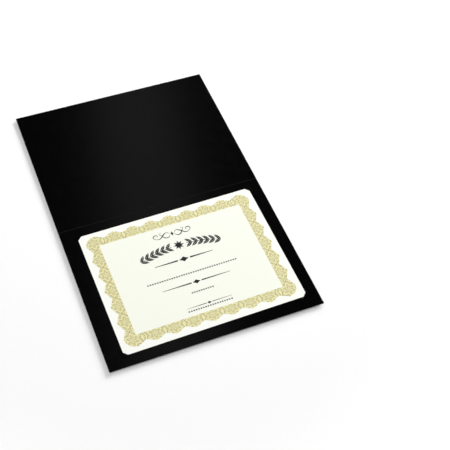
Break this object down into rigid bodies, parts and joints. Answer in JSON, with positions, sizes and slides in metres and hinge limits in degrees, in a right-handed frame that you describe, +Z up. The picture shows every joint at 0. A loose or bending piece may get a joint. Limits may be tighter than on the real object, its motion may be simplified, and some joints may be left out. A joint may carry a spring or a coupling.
{
  "type": "certificate holder",
  "caption": "Black card cover that folds along its long side, with a certificate tucked into corner slits inside and a gold foil frame on the front.",
  "frame": {"origin": "on the table under the middle of the fold, with the holder lying open and flat", "axes": "+X along the fold, +Y from the fold to the free edge of the front cover, +Z up out of the inner faces"},
  "size_m": [0.324, 0.502, 0.0007],
  "materials": {
    "cover_stock": "satin black card, 0.4 mm",
    "certificate_paper": "matt ivory certificate paper, 0.2 mm",
    "gold_foil": "champagne gold hot-stamping foil"
  },
  "bodies": {
    "back": {"back_cover": "cover_stock", "fold_crease": "cover_stock", "certificate": "certificate_paper"},
    "front": {"front_cover": "cover_stock", "foil_band_top": "gold_foil", "foil_band_bottom": "gold_foil", "foil_band_left": "gold_foil", "foil_band_right": "gold_foil", "foil_line_outer": "gold_foil", "foil_line_inner": "gold_foil", "foil_boss_top_left": "gold_foil", "foil_boss_top_right": "gold_foil", "foil_boss_bottom_left": "gold_foil", "foil_boss_bottom_right": "gold_foil", "foil_fan_top_left": "gold_foil", "foil_fan_top_right": "gold_foil", "foil_fan_bottom_left": "gold_foil", "foil_fan_bottom_right": "gold_foil"}
  },
  "joints": [
    {"name": "cover_fold", "type": "hinge", "parent": "back", "child": "front", "pos_m": [0, 0, 0.0006], "axis": [1, 0, 0], "range_deg": [0, 180], "deforming": ["fold_crease"]}
  ]
}
